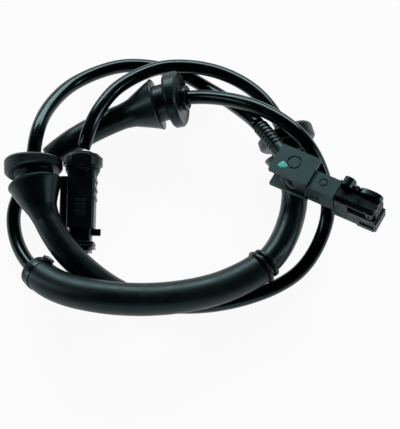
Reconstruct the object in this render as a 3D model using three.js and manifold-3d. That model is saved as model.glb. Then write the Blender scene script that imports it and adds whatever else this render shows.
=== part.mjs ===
// Wheel speed sensor on its cable: a moulded sensor head, three rubber body grommets with curved tails,
// a protective sleeve and a two-way connector, lying in a heap of loops on the plane z = 0.
// Millimetres, +Z up.

import * as THREE from 'three';
import { mergeVertices } from 'three/addons/utils/BufferGeometryUtils.js';
import Module from 'manifold-3d';

const wasm = await Module();
wasm.setup();

// Clearances
const seatGap = 0.3;
const cableFit = 1;

// Middle of the footprint on the resting plane, in the route's own coordinates
const footprintMiddle = [-3.13, 4.49, 0.13];

// Cable
const cableDiameter = 5.2;
const cableSides = 10;
const cableSteps = 80;

// Route of the cable's centreline, from the sensor head to the connector
const routePoints = [
  [30.3, 11.5, 26.11],
  [21.4, 26.3, 21.4],
  [14, 36.8, 14],
  [4.5, 47.3, 6.6],
  [-10, 57, 3.6],
  [-29.2, 59.4, 3.6],
  [-46.6, 50.9, 7],
  [-55.6, 38, 13],
  [-59.2, 24.7, 17.6],
  [-59.8, 10.8, 17],
  [-55.5, -5.3, 17.2],
  [-44.9, -21.5, 14.4],
  [-23.5, -33.9, 4.6],
  [7.9, -35.1, 3.5],
  [35.3, -23.5, 3.6],
  [45.7, -5.5, 9.2],
  [44, 8.2, 17.8],
  [36, 20.5, 24.8],
  [19.9, 33.1, 23],
  [-3.7, 41.2, 13.7],
  [-25.8, 37.2, 8.2],
  [-44.5, 29.1, 5.4],
  [-60, 16.9, 4],
  [-68, 1.3, 3.5],
  [-65.6, -14, 5.2],
  [-52.6, -30.1, 13.6],
  [-33, -37.1, 18.8],
  [-10.4, -36.2, 14.6],
  [10.2, -30.1, 10.6],
  [25.4, -19.7, 8.6],
  [33.7, -1.8, 5.6],
  [34.3, 13.9, 9.4],
  [29.6, 31.3, 11.8],
  [20.1, 44.7, 12],
  [4.7, 54, 10.4],
  [-14, 55.5, 10],
  [-29.8, 46, 13.4],
  [-37.3, 34.9, 15.8],
  [-40.7, 26.7, 15.4],
  [-42.6, 20.7, 13.2],
];

// Ribbed strain relief moulded on the cable's end at the head
const reliefLength = 17;
const reliefRadius = 3.1;
const reliefGroove = 0.45;
const reliefRibs = 4;
const reliefRibPitch = 2.6;

// Body grommets: collar, panel groove, cone and tail, all one rubber moulding
const collarRadius = 10.5;
const collarThickness = 5.2;
const collarEdge = 0.9;
const grooveRadius = 6.9;
const grooveWidth = 4.2;
const lipRadius = 9.8;
const lipThickness = 0.8;
const coneLength = 11;
const tailRadius = 4.75;
const neckRadius = 5.1;
const boreRadius = cableDiameter / 2 + cableFit;
const rubberSides = 20;
const bendStep = 4;

// Distances along the route of each grommet's collar face and the length of the whole grommet
const frontGrommet = { face: 147.6, length: 52 };
const rearGrommet = { face: 382.2, length: 47 };
const sideGrommet = { face: 635.8, length: 57 };

// Double bead at the open end of the side grommet's tail
const beadDiscRadius = 6.5;
const beadDiscThickness = 1;
const beadGap = 1.2;
const beadRadius = 5.8;
const beadThickness = 1.7;

// Collar ring on the cable beside the rear grommet
const ringThickness = 2;
const ringWall = 1;

// Protective sleeve and its tie
const sleeveStart = 488.4;
const sleeveToGrommet = 0.6;
const sleeveLength = sideGrommet.face - sideGrommet.length - sleeveToGrommet - sleeveStart;
const sleeveRadius = 5.1;
const sleeveBore = 3.7;
const tieFromEnd = 4;
const tieWidth = 2.4;
const tieThickness = 0.45;
const tieHead = [4.6, 3.6, 1.6];
const tieTurn = 66;

// Sensor head: place of the middle of the upper plate's top face, and its attitude in degrees
const headPlace = [32.6, 7.9, 31.8];
const headHeading = -29.2;
const headNoseUp = 10.9;
const headSideUp = -4.1;

// Sensor head, in its own axes: x towards the nose, y across, z up, top of the upper plate at z = 0
const plateLength = 14.7;
const plateWidth = 12.7;
const plateThickness = 1.5;
const headHeight = 10;
const lowerPlateShift = 0.55;
const plateCorner = 0.6;
const coreRadius = 5;
const coreCentre = [1.6, 0.6];
const slotInner = 6.2;
const slotWidth = 1.7;
const neckOverlap = 0.35;
const neckStart = plateLength / 2 - neckOverlap;
const neckLength = 11.2;
const neckWidth = 7.3;
const neckDrop = 1.2;
const webLength = 5;
const webInset = 0.8;
const ribWidth = 0.6;
const ribProud = 0.4;
const endRibDrop = 3.8;
const ringMarkRadius = 2.6;
const neckMarkRadius = 1.5;
const markLine = 0.35;
const markDepth = 0.3;
const tangLength = 3;
const tangWidth = 3.8;
const tangHeight = 8;

// Sensor nose
const noseLength = 16;
const noseDrop = 2.6;
const noseHeight = 11.2;
const noseStep = 0.8;
const noseHeelLength = 7.5;
const channelStart = 5;
const channelHeight = 4.2;
const channelDepth = 1.6;
const noseWindow = [5.4, 2.8, 0.5];
const pinRadius = 1.4;
const pinFromTip = 3;
const pinLength = 3.2;
const pinSink = 1.8;

// Retaining clip on the nose
const clipSetback = 0.8;
const clipLength = noseLength - clipSetback;
const clipBase = 1;
const clipBarWidth = 2.8;
const clipBarHeight = 1.7;
const clipRailWidth = 1.9;
const clipNotchEnd = 6.6;
const clipPegFromEnd = 5.2;
const clipPegRadius = 1;
const clipPegLength = 2.6;

// Connector: place of the middle of its rear face, and its attitude in degrees
const connectorPlace = [-42.6, 18.6, 12.8];
const connectorHeading = -91;
const connectorNoseDown = 11.5;

// Connector, in its own axes: x from the rear face to the front, y across, z up
const capRadius = 7.2;
const capThickness = 5.6;
const capEdge = 0.8;
const capFlat = 6.3;
const sealRadius = 3.9;
const sealProud = 0.9;
const sealLip = 0.5;
const shoulderLength = 2.4;
const shoulderRadius = 6.4;
const shoulderFrontRadius = 5.2;
const bodyWidth = 10;
const bodyHeight = 10.6;
const bodyCorner = 1.6;
const bodyEnd = 27.6;
const spoutWidth = 8;
const spoutHeight = 8.2;
const connectorLength = 35.8;
const socketDepth = 7.2;
const socketWall = 1;
const lockLength = 6;
const lockWidth = 4.4;
const lockDepth = 1.8;
const lockStart = 17;
const lugReach = 3.2;
const lugThickness = 1.6;
const lugLength = 1.8;
const lugStart = 28;
const gripRibs = 3;
const gripPitch = 3.2;
const terminalSection = [0.8, 2.2];
const terminalLength = 9;
const terminalSpacing = 3.2;
const frontSealWidth = 2;
const frontSealWall = 0.9;

const deg = THREE.MathUtils.degToRad;

// Materials
const plastic = (color, roughness) => new THREE.MeshStandardMaterial({ color, roughness, metalness: 0 });
const metal = (color, roughness) => new THREE.MeshStandardMaterial({ color, roughness, metalness: 1 });
const headPlastic = () => plastic(0x1c2626, 0.5);
const nosePlastic = () => plastic(0x232c2b, 0.62);
const glossPlastic = () => plastic(0x0a0c0d, 0.22);
const rubber = () => plastic(0x121a1a, 0.55);
const jacket = () => plastic(0x101616, 0.32);
const sleeveRubber = () => plastic(0x141d1d, 0.42);
const connectorPlastic = () => plastic(0x0e1313, 0.45);
const tinnedBrass = () => metal(0xb9b4a4, 0.35);

// Solids
function solidOf(geometry) {
  const bare = geometry.clone();
  bare.deleteAttribute('normal');
  bare.deleteAttribute('uv');
  const merged = mergeVertices(bare, 1e-4);
  const index = Array.from(merged.index.array);
  const corners = [];
  for (let i = 0; i < index.length; i += 3) {
    const [a, b, c] = index.slice(i, i + 3);
    if (a !== b && b !== c && c !== a) {
      corners.push(a, b, c);
    }
  }
  return new wasm.Manifold(new wasm.Mesh({
    numProp: 3,
    vertProperties: Float32Array.from(merged.attributes.position.array),
    triVerts: Uint32Array.from(corners),
  }));
}

function geometryOf(solid) {
  const mesh = solid.getMesh();
  const geometry = new THREE.BufferGeometry();
  geometry.setAttribute('position', new THREE.BufferAttribute(mesh.vertProperties, 3));
  geometry.setIndex(new THREE.BufferAttribute(mesh.triVerts, 1));
  geometry.computeVertexNormals();
  return geometry;
}

function piece(name, solid, material) {
  const mesh = new THREE.Mesh(geometryOf(solid), material);
  mesh.name = name;
  return mesh;
}

function joined(solids) {
  return solids.reduce((whole, next) => whole.add(next));
}

function block(x0, x1, y0, y1, z0, z1) {
  const box = new THREE.BoxGeometry(x1 - x0, y1 - y0, z1 - z0);
  box.translate((x0 + x1) / 2, (y0 + y1) / 2, (z0 + z1) / 2);
  return solidOf(box);
}

function roundedOutline(width, height, corner) {
  const shape = new THREE.Shape();
  const w = width / 2 - corner;
  const h = height / 2 - corner;
  shape.absarc(w, h, corner, 0, Math.PI / 2);
  shape.absarc(-w, h, corner, Math.PI / 2, Math.PI);
  shape.absarc(-w, -h, corner, Math.PI, 1.5 * Math.PI);
  shape.absarc(w, -h, corner, 1.5 * Math.PI, 2 * Math.PI);
  return shape;
}

// Flat plate with rounded corners, lying in the xy plane from z0 to z1
function plate(x0, x1, y0, y1, corner, z0, z1) {
  const outline = roundedOutline(x1 - x0, y1 - y0, corner);
  const geometry = new THREE.ExtrudeGeometry(outline, { depth: z1 - z0, bevelEnabled: false, curveSegments: 3 });
  geometry.translate((x0 + x1) / 2, (y0 + y1) / 2, z0);
  return solidOf(geometry);
}

// Bar of rounded section along x, with its edges at both ends broken by a small bevel
function bar(x0, x1, width, height, corner, bevel) {
  const outline = roundedOutline(width - 2 * bevel, height - 2 * bevel, corner);
  const geometry = new THREE.ExtrudeGeometry(outline, {
    depth: x1 - x0 - 2 * bevel,
    bevelEnabled: bevel > 0,
    bevelSize: bevel,
    bevelThickness: bevel,
    bevelSegments: 1,
    curveSegments: 3,
  });
  geometry.translate(0, 0, x0 + bevel);
  geometry.rotateX(Math.PI / 2);
  geometry.rotateZ(Math.PI / 2);
  return solidOf(geometry);
}

// Round post along z
function post(radius, z0, z1, x, y, sides = 24) {
  const geometry = new THREE.CylinderGeometry(radius, radius, z1 - z0, sides);
  geometry.rotateX(Math.PI / 2);
  geometry.translate(x, y, (z0 + z1) / 2);
  return solidOf(geometry);
}

// Side profile in x and z, drawn as [x, z] corners and given its width across y
function profiled(corners, y0, y1) {
  const shape = new THREE.Shape(corners.map(([x, z]) => new THREE.Vector2(x, z)));
  const geometry = new THREE.ExtrudeGeometry(shape, { depth: y1 - y0, bevelEnabled: false });
  geometry.rotateX(Math.PI / 2);
  geometry.translate(0, y1, 0);
  return solidOf(geometry);
}

// Closed ring of revolution from [distance, radius] corners, in order up the outside and back down the inside
function revolved(corners, sides) {
  const profile = corners.map(([s, r]) => new THREE.Vector2(r, s));
  return new THREE.LatheGeometry(profile, sides);
}

// Adds corners along the long straight runs of a profile, so that it can follow a curve
function stepped(corners, longest) {
  const fine = [corners[0]];
  for (let i = 1; i < corners.length; i += 1) {
    const [s0, r0] = corners[i - 1];
    const [s1, r1] = corners[i];
    const parts = Math.max(1, Math.ceil(Math.abs(s1 - s0) / longest));
    for (let k = 1; k <= parts; k += 1) {
      fine.push([s0 + (s1 - s0) * k / parts, r0 + (r1 - r0) * k / parts]);
    }
  }
  return fine;
}

// Route
const route = new THREE.CatmullRomCurve3(routePoints.map((p) => new THREE.Vector3(...p)), false, 'centripetal');
route.arcLengthDivisions = 4000;
const routeLength = route.getLength();

class RouteStretch extends THREE.Curve {
  constructor(from, to) {
    super();
    this.from = from;
    this.to = to;
  }

  getPoint(t, target = new THREE.Vector3()) {
    return route.getPointAt((this.from + (this.to - this.from) * t) / routeLength, target);
  }
}

// Bends a body of revolution so that its axis follows the route from a start distance, ahead or back along it
function bentAlong(lathe, start, ahead) {
  const place = lathe.attributes.position;
  const up = new THREE.Vector3(0, 0, 1);
  for (let i = 0; i < place.count; i += 1) {
    const u = THREE.MathUtils.clamp((start + ahead * place.getY(i)) / routeLength, 0, 1);
    const centre = route.getPointAt(u);
    const along = route.getTangentAt(u).multiplyScalar(ahead);
    const side = new THREE.Vector3().crossVectors(along, up).normalize();
    const rise = new THREE.Vector3().crossVectors(side, along);
    centre.addScaledVector(side, place.getX(i));
    centre.addScaledVector(rise, place.getZ(i));
    place.setXYZ(i, centre.x, centre.y, centre.z);
  }
  return solidOf(lathe);
}

// Cable and what is threaded on it
function cable() {
  const section = new THREE.Shape();
  section.absarc(0, 0, cableDiameter / 2, 0, 2 * Math.PI);
  const geometry = new THREE.ExtrudeGeometry(section, {
    steps: cableSteps,
    curveSegments: cableSides / 2,
    extrudePath: new RouteStretch(reliefLength + seatGap, routeLength),
  });
  return piece('cable', solidOf(geometry), jacket());
}

function strainRelief() {
  const corners = [[0, 0], [0, reliefRadius - reliefGroove], [reliefGroove, reliefRadius]];
  const firstRib = reliefLength - (reliefRibs - 1) * reliefRibPitch - reliefRibPitch / 2;
  for (let i = 0; i < reliefRibs; i += 1) {
    const rib = firstRib + i * reliefRibPitch;
    corners.push([rib - 1, reliefRadius], [rib - 0.7, reliefRadius - reliefGroove]);
    corners.push([rib, reliefRadius - reliefGroove], [rib + 0.3, reliefRadius]);
  }
  corners.push([reliefLength, reliefRadius], [reliefLength, 0]);
  const body = bentAlong(revolved(stepped(corners, bendStep), 16), 0, 1);
  return piece('strain_relief', body, rubber());
}

function roundedCollar(from, thickness, radius, edge) {
  const middle = Math.SQRT1_2 * edge;
  return [
    [from, radius - edge],
    [from + edge - middle, radius - edge + middle],
    [from + edge, radius],
    [from + thickness - edge, radius],
    [from + thickness - edge + middle, radius - edge + middle],
    [from + thickness, radius - edge],
  ];
}

function grommetOutline(length, beaded) {
  const groove = collarThickness + grooveWidth;
  const neck = groove + lipThickness + coneLength;
  const outline = [
    [0, boreRadius],
    ...roundedCollar(0, collarThickness, collarRadius, collarEdge),
    [collarThickness, grooveRadius],
    [groove, grooveRadius],
    [groove, lipRadius - 0.3],
    [groove + 0.3, lipRadius],
    [groove + lipThickness, lipRadius],
    [neck - 1.5, neckRadius + 0.35],
    [neck, neckRadius],
    [neck + 2.5, tailRadius],
  ];
  if (beaded) {
    const disc = length - beadDiscThickness;
    const bead = disc - beadGap - beadThickness;
    outline.push(
      [bead, tailRadius],
      [bead + 0.3, beadRadius],
      [bead + beadThickness - 0.3, beadRadius],
      [bead + beadThickness, tailRadius],
      [disc, tailRadius],
      [disc, beadDiscRadius],
      [length, beadDiscRadius],
    );
  } else {
    outline.push([length - 0.3, tailRadius], [length, tailRadius - 0.3]);
  }
  outline.push([length, boreRadius], [0, boreRadius]);
  return outline;
}

function grommet(name, seat, ahead, beaded) {
  const lathe = revolved(stepped(grommetOutline(seat.length, beaded), bendStep), rubberSides);
  return piece(name, bentAlong(lathe, seat.face, ahead), rubber());
}

function tubeOutline(length, outer, bore, edge) {
  return [
    [0, bore],
    [0, outer - edge],
    [edge, outer],
    [length - edge, outer],
    [length, outer - edge],
    [length, bore],
    [0, bore],
  ];
}

function cableCollar() {
  const outline = tubeOutline(ringThickness, boreRadius + ringWall, boreRadius, 0.25);
  const start = rearGrommet.face - seatGap - ringThickness;
  return piece('cable_collar', bentAlong(revolved(outline, 20), start, 1), glossPlastic());
}

function protectiveSleeve() {
  const outline = stepped(tubeOutline(sleeveLength, sleeveRadius, sleeveBore, 0.4), bendStep);
  return piece('protective_sleeve', bentAlong(revolved(outline, rubberSides), sleeveStart, 1), sleeveRubber());
}

function sleeveTie() {
  const inner = sleeveRadius + seatGap;
  const strap = revolved(tubeOutline(tieWidth, inner + tieThickness, inner, 0.15), rubberSides);
  const [long, wide, tall] = tieHead;
  const head = new THREE.BoxGeometry(wide, long, tall);
  head.translate(0, tieWidth / 2, inner + tieThickness / 2 + tall / 2 - 0.1);
  head.rotateY(deg(-tieTurn));
  const start = sleeveStart + tieFromEnd;
  const tie = bentAlong(strap, start, 1).add(bentAlong(head, start, 1));
  return piece('sleeve_tie', tie, glossPlastic());
}

// Sensor head
const headFront = -plateWidth / 2;
const neckBack = headFront + neckWidth;
const neckEnd = neckStart + neckLength;
const tangTop = -neckDrop - 3;
const tangFront = headFront + (neckWidth - tangWidth) / 2;

function headPlates() {
  const half = plateLength / 2;
  const upper = plate(-half, half, headFront, -headFront, plateCorner, -plateThickness, 0);
  const lower = plate(
    lowerPlateShift - half,
    lowerPlateShift + half,
    headFront,
    -headFront,
    plateCorner,
    -headHeight,
    plateThickness - headHeight,
  );
  return [upper, lower];
}

function ringCut(radius, width, x, y, z0, z1) {
  return post(radius + width, z0, z1, x, y).subtract(post(radius, z0 - 1, z1 + 1, x, y));
}

// Curved slot that parts the lower plate from the round core, from the rear round to the front
function lowerPlateSlot() {
  const [x, y] = coreCentre;
  const ring = ringCut(slotInner, slotWidth, x, y, -headHeight - 1, plateThickness - headHeight + 1);
  const quarter = block(x - plateLength, x + 1.5, y - plateWidth, y, -headHeight - 2, 0);
  return ring.intersect(quarter);
}

function neck() {
  const middle = (neckStart + neckEnd) / 2;
  const body = plate(neckStart, neckEnd, headFront, neckBack, 0.5, -headHeight, -neckDrop);
  const mark = ringCut(neckMarkRadius, markLine, middle, headFront + neckWidth / 2, -neckDrop - markDepth, 0);
  return body.subtract(mark);
}

function neckRibs() {
  const front = headFront - ribProud;
  const first = block(neckStart + 0.2, neckStart + 0.2 + ribWidth, front, headFront + 1, -headHeight, -neckDrop - 0.2);
  const last = plate(
    neckEnd - ribWidth,
    neckEnd,
    front,
    neckBack + ribProud,
    0.25,
    -headHeight - endRibDrop,
    -neckDrop + 0.2,
  );
  const lugs = [2.4, 4.4].map((x) => block(
    neckStart + x,
    neckStart + x + 1,
    front,
    headFront + 1,
    1.6 - headHeight,
    3.4 - headHeight,
  ));
  return [first, last, ...lugs];
}

function headMoulding(relief) {
  const [x, y] = coreCentre;
  const core = post(coreRadius, 0.1 - headHeight, -0.1, x, y, 32);
  const web = block(
    neckStart - webLength,
    neckStart + 1,
    headFront + webInset,
    neckBack - webInset,
    0.1 - headHeight,
    -plateThickness - 0.4,
  );
  const tang = block(
    neckEnd - 0.5,
    neckEnd + tangLength,
    tangFront,
    tangFront + tangWidth,
    tangTop - tangHeight,
    tangTop,
  );
  const [upper, lower] = headPlates();
  const slotted = lower.subtract(lowerPlateSlot());
  const ringMark = ringCut(ringMarkRadius, markLine, 0, 0, -markDepth, 1);
  return joined([upper, slotted, core, web, neck(), tang, ...neckRibs()]).subtract(ringMark).subtract(relief);
}

// Room for the strain relief in the head, found in the head's own axes
function reliefRoom(headMatrix) {
  const outline = [[0, 0], [0, reliefRadius + seatGap], [reliefLength, reliefRadius + seatGap], [reliefLength, 0]];
  const lathe = revolved(stepped(outline, bendStep), 20);
  const back = route.getTangentAt(0).multiplyScalar(-seatGap);
  const room = bentAlong(lathe, 0, 1).translate([back.x, back.y, back.z]);
  return room.transform(headMatrix.clone().invert().elements);
}

function nosePocket() {
  return block(
    neckEnd,
    neckEnd + tangLength + seatGap,
    tangFront - seatGap,
    tangFront + tangWidth + seatGap,
    tangTop - tangHeight - seatGap,
    tangTop + seatGap,
  );
}

const noseStart = neckEnd + seatGap;
const noseTip = noseStart + noseLength;
const noseTop = -noseDrop;
const noseFoot = noseTop - noseHeight;
const channelTop = noseTop;
const pinPlace = [noseTip - pinFromTip, channelTop - channelHeight / 2];

// Stepped side profile of the nose
function noseProfile() {
  return [
    [noseStart, noseTop],
    [noseTip - 2 * noseStep, noseTop],
    [noseTip - noseStep, noseTop - 1.6],
    [noseTip - noseStep, noseTop - 5.4],
    [noseTip, noseTop - 5.4],
    [noseTip, noseFoot + 1.4],
    [noseTip - 1.2, noseFoot],
    [noseTip - noseHeelLength, noseFoot],
    [noseTip - noseHeelLength, noseFoot + noseStep],
    [noseStart, noseFoot + noseStep],
  ];
}

function crossPost(radius, x, z, y0, y1) {
  const geometry = new THREE.CylinderGeometry(radius, radius, y1 - y0, 20);
  geometry.translate(x, (y0 + y1) / 2, z);
  return solidOf(geometry);
}

function clipPeg(radius, length) {
  const x = noseStart + clipLength - clipPegFromEnd;
  return post(radius, noseTop + seatGap - length, noseTop + seatGap + 0.5, x, neckBack - clipRailWidth / 2 - 1, 16);
}

function sensorNose() {
  const [windowLong, windowTall, windowDeep] = noseWindow;
  const body = profiled(noseProfile(), headFront, neckBack);
  const channel = block(
    noseStart + channelStart,
    noseTip + 1,
    headFront - 1,
    headFront + channelDepth,
    channelTop - channelHeight,
    channelTop - 0.7,
  );
  const windowStart = noseTip - 1 - windowLong;
  const window = block(
    windowStart,
    windowStart + windowLong,
    headFront - 1,
    headFront + windowDeep,
    noseFoot + 1.8,
    noseFoot + 1.8 + windowTall,
  );
  const pinHole = crossPost(
    pinRadius + seatGap,
    ...pinPlace,
    headFront,
    headFront + channelDepth + pinSink + seatGap,
  );
  const cuts = [channel, window, pinHole, nosePocket(), clipPeg(clipPegRadius + seatGap, clipPegLength + seatGap)];
  return cuts.reduce((rest, cut) => rest.subtract(cut), body);
}

function locatingPin() {
  const back = headFront + channelDepth + pinSink;
  return crossPost(pinRadius, ...pinPlace, back - pinLength, back);
}

// Rail of the clip, seen from the side: a hook, a small bump and a long arch
function railProfile() {
  const base = noseTop + seatGap;
  const archStart = noseStart + clipNotchEnd + 0.5;
  const archHalf = (noseStart + clipLength - 0.1 - archStart) / 2;
  const arch = [];
  for (let i = 0; i <= 6; i += 1) {
    const angle = Math.PI * (1 - i / 6);
    arch.push([archStart + archHalf * (1 + Math.cos(angle)), base + 1 + 1.9 * Math.sin(angle)]);
  }
  return [
    [noseStart + 0.3, base],
    [noseStart + 0.3, base + 2.4],
    [noseStart + 1, base + 3.4],
    [noseStart + 3.4, base + 3.4],
    [noseStart + 4.3, base + 2.6],
    [noseStart + 4.5, base + 1.2],
    [noseStart + 5.1, base + 1.2],
    [noseStart + 5.3, base + 2.1],
    [noseStart + 6.3, base + 2.1],
    [noseStart + clipNotchEnd, base + 1],
    ...arch,
    [noseStart + clipLength, base],
  ];
}

function retainingClip() {
  const base = noseTop + seatGap;
  const barFront = headFront + 1.2;
  const start = noseStart + 0.1;
  const sheet = block(start, start + clipLength - 0.4, barFront + 0.2, neckBack, base, base + clipBase);
  const outline = new THREE.Shape();
  const tip = clipBarWidth / 2;
  outline.moveTo(start, barFront);
  outline.lineTo(start + clipLength - tip, barFront);
  outline.absarc(start + clipLength - tip, barFront + tip, tip, -Math.PI / 2, Math.PI / 2);
  outline.lineTo(start, barFront + clipBarWidth);
  const barGeometry = new THREE.ExtrudeGeometry(outline, {
    depth: clipBarHeight,
    bevelEnabled: false,
    curveSegments: 8,
  });
  barGeometry.translate(0, 0, base);
  const rail = profiled(railProfile(), neckBack - clipRailWidth, neckBack);
  return joined([sheet, solidOf(barGeometry), rail, clipPeg(clipPegRadius, clipPegLength)]);
}

function sensorHead() {
  const head = new THREE.Group();
  head.position.set(...headPlace);
  head.rotation.set(deg(headSideUp), deg(-headNoseUp), deg(headHeading), 'ZYX');
  head.updateMatrix();
  head.add(
    piece('sensor_head', headMoulding(reliefRoom(head.matrix)), headPlastic()),
    piece('sensor_nose', sensorNose(), nosePlastic()),
    piece('locating_pin', locatingPin(), glossPlastic()),
    piece('retaining_clip', retainingClip(), glossPlastic()),
  );
  return head;
}

// Connector
const shoulderEnd = capThickness + seatGap + shoulderLength;

function lathedAlongX(corners, sides) {
  const geometry = revolved(corners, sides);
  geometry.rotateZ(-Math.PI / 2);
  return solidOf(geometry);
}

function connectorCap() {
  const disc = lathedAlongX([
    [0, sealRadius + seatGap],
    ...roundedCollar(0, capThickness, capRadius, capEdge),
    [capThickness, sealRadius + seatGap],
    [0, sealRadius + seatGap],
  ], 36);
  const flat = block(-1, capThickness + 1, -capRadius, capRadius, capFlat, capRadius + 1);
  return disc.subtract(flat);
}

function cableSeal() {
  const lips = [];
  for (let i = 0; i < 3; i += 1) {
    const from = 0.6 + i * 1.6;
    lips.push([from, sealRadius - sealLip], [from + 0.4, sealRadius], [from + 0.8, sealRadius - sealLip]);
  }
  return lathedAlongX([
    [-sealProud, 0],
    [-sealProud, sealRadius - sealLip],
    ...lips,
    [capThickness, sealRadius - sealLip],
    [capThickness, 0],
  ], 24);
}

function lockPocket(gap) {
  const top = bodyHeight / 2;
  return block(
    lockStart - gap,
    lockStart + lockLength + gap,
    -lockWidth / 2 - gap,
    lockWidth / 2 + gap,
    top - lockDepth - gap,
    top + gap,
  );
}

function terminalBlade(side, gap) {
  const [thick, wide] = terminalSection;
  const y = side * terminalSpacing / 2;
  const front = connectorLength - 1.2;
  return block(
    front - terminalLength - gap,
    front + gap,
    y - thick / 2 - gap,
    y + thick / 2 + gap,
    -wide / 2 - gap,
    wide / 2 + gap,
  );
}

function connectorHousing() {
  const start = capThickness + seatGap;
  const shoulder = lathedAlongX([
    [start, 0],
    [start, shoulderRadius],
    [shoulderEnd, shoulderFrontRadius],
    [shoulderEnd + 0.5, 0],
  ], 28);
  const body = bar(start + 0.8, bodyEnd, bodyWidth, bodyHeight, bodyCorner, 0.4);
  const spout = bar(bodyEnd - 2, connectorLength, spoutWidth, spoutHeight, 1.2, 0);
  const socket = bar(
    connectorLength - socketDepth,
    connectorLength + 1,
    spoutWidth - 2 * socketWall,
    spoutHeight - 2 * socketWall,
    0.7,
    0,
  );
  const lug = block(
    lugStart - 0.6,
    lugStart + lugLength,
    0,
    spoutWidth / 2 + lugReach,
    -lugThickness / 2,
    lugThickness / 2,
  );
  const ribs = [];
  for (let i = 0; i < gripRibs; i += 1) {
    const x = shoulderEnd + 1.2 + i * gripPitch;
    ribs.push(bar(x, x + 1, bodyWidth + 0.8, bodyHeight - 2, bodyCorner, 0.2));
  }
  const solid = joined([shoulder, body, spout, lug, ...ribs]);
  const cuts = [socket, lockPocket(seatGap), terminalBlade(-1, seatGap), terminalBlade(1, seatGap)];
  return cuts.reduce((rest, cut) => rest.subtract(cut), solid);
}

function frontSeal() {
  const start = connectorLength - 3.4;
  const outer = bar(
    start,
    start + frontSealWidth,
    spoutWidth + 2 * (seatGap + frontSealWall),
    spoutHeight + 2 * (seatGap + frontSealWall),
    1.6,
    0.25,
  );
  const inner = bar(
    start - 1,
    start + frontSealWidth + 1,
    spoutWidth + 2 * seatGap,
    spoutHeight + 2 * seatGap,
    1.3,
    0,
  );
  return outer.subtract(inner);
}

function connector() {
  const group = new THREE.Group();
  group.position.set(...connectorPlace);
  group.rotation.set(0, deg(connectorNoseDown), deg(connectorHeading), 'ZYX');
  group.add(
    piece('connector_housing', connectorHousing(), connectorPlastic()),
    piece('connector_cap', connectorCap(), connectorPlastic()),
    piece('cable_seal', cableSeal(), rubber()),
    piece('terminal_lock', lockPocket(0), plastic(0x2a3333, 0.4)),
    piece('terminal_a', terminalBlade(-1, 0), tinnedBrass()),
    piece('terminal_b', terminalBlade(1, 0), tinnedBrass()),
    piece('front_seal', frontSeal(), rubber()),
  );
  return group;
}

const sensor = new THREE.Group();
sensor.position.set(...footprintMiddle.map((value) => -value));
sensor.add(
  sensorHead(),
  strainRelief(),
  cable(),
  grommet('front_grommet', frontGrommet, 1, false),
  grommet('rear_grommet', rearGrommet, 1, false),
  grommet('side_grommet', sideGrommet, -1, true),
  cableCollar(),
  protectiveSleeve(),
  sleeveTie(),
  connector(),
);

export default sensor;
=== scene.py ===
# Dresses the wheel speed sensor for its photograph: smooth rubber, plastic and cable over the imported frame,
# a paint dab, a pale floor, soft studio light and the camera. Sizes are in millimetres and turned to metres
# where a mesh is made, but the lamps' places and sizes are in metres.

import math

import bmesh
import bpy
import numpy as np
from mathutils import Euler, Matrix, Vector

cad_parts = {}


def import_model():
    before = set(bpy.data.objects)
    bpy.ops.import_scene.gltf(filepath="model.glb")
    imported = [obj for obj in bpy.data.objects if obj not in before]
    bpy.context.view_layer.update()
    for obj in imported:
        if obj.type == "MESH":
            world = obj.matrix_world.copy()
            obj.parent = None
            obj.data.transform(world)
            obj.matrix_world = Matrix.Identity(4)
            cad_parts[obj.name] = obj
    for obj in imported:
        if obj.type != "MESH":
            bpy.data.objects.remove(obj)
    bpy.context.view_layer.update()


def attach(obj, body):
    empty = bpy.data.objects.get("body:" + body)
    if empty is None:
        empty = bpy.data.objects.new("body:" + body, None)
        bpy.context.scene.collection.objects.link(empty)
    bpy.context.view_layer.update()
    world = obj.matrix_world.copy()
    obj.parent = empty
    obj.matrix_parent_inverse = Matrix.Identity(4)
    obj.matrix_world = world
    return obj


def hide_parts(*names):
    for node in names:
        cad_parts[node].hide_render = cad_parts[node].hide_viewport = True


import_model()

MM = 0.001
SEAT_GAP = 0.3

# Route of the cable's centreline, from the sensor head to the connector
FOOTPRINT_MIDDLE = np.array([-3.13, 4.49, 0.13])
ROUTE = [
    (30.3, 11.5, 26.11), (21.4, 26.3, 21.4), (14, 36.8, 14), (4.5, 47.3, 6.6), (-10, 57, 3.6),
    (-29.2, 59.4, 3.6), (-46.6, 50.9, 7), (-55.6, 38, 13), (-59.2, 24.7, 17.6), (-59.8, 10.8, 17),
    (-55.5, -5.3, 17.2), (-44.9, -21.5, 14.4), (-23.5, -33.9, 4.6), (7.9, -35.1, 3.5), (35.3, -23.5, 3.6),
    (45.7, -5.5, 9.2), (44, 8.2, 17.8), (36, 20.5, 24.8), (19.9, 33.1, 23), (-3.7, 41.2, 13.7),
    (-25.8, 37.2, 8.2), (-44.5, 29.1, 5.4), (-60, 16.9, 4), (-68, 1.3, 3.5), (-65.6, -14, 5.2),
    (-52.6, -30.1, 13.6), (-33, -37.1, 18.8), (-10.4, -36.2, 14.6), (10.2, -30.1, 10.6), (25.4, -19.7, 8.6),
    (33.7, -1.8, 5.6), (34.3, 13.9, 9.4), (29.6, 31.3, 11.8), (20.1, 44.7, 12), (4.7, 54, 10.4),
    (-14, 55.5, 10), (-29.8, 46, 13.4), (-37.3, 34.9, 15.8), (-40.7, 26.7, 15.4), (-42.6, 20.7, 13.2),
]
STEPS_PER_SPAN = 100

# Cable and strain relief
CABLE_RADIUS = 2.6
CABLE_FIT = 1.0
CABLE_SIDES = 28
CABLE_STEP = 2.2
CABLE_END_EDGE = 0.2
RELIEF_LENGTH = 17.0
RELIEF_RADIUS = 2.85
RELIEF_STEP = 1.5
RELIEF_GROOVE = 0.35
RELIEF_GROOVE_WIDTH = 0.4
RELIEF_GROOVE_SLOPE = 0.2
RELIEF_RIBS = 7
RELIEF_RIB_PITCH = 1.6

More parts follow.
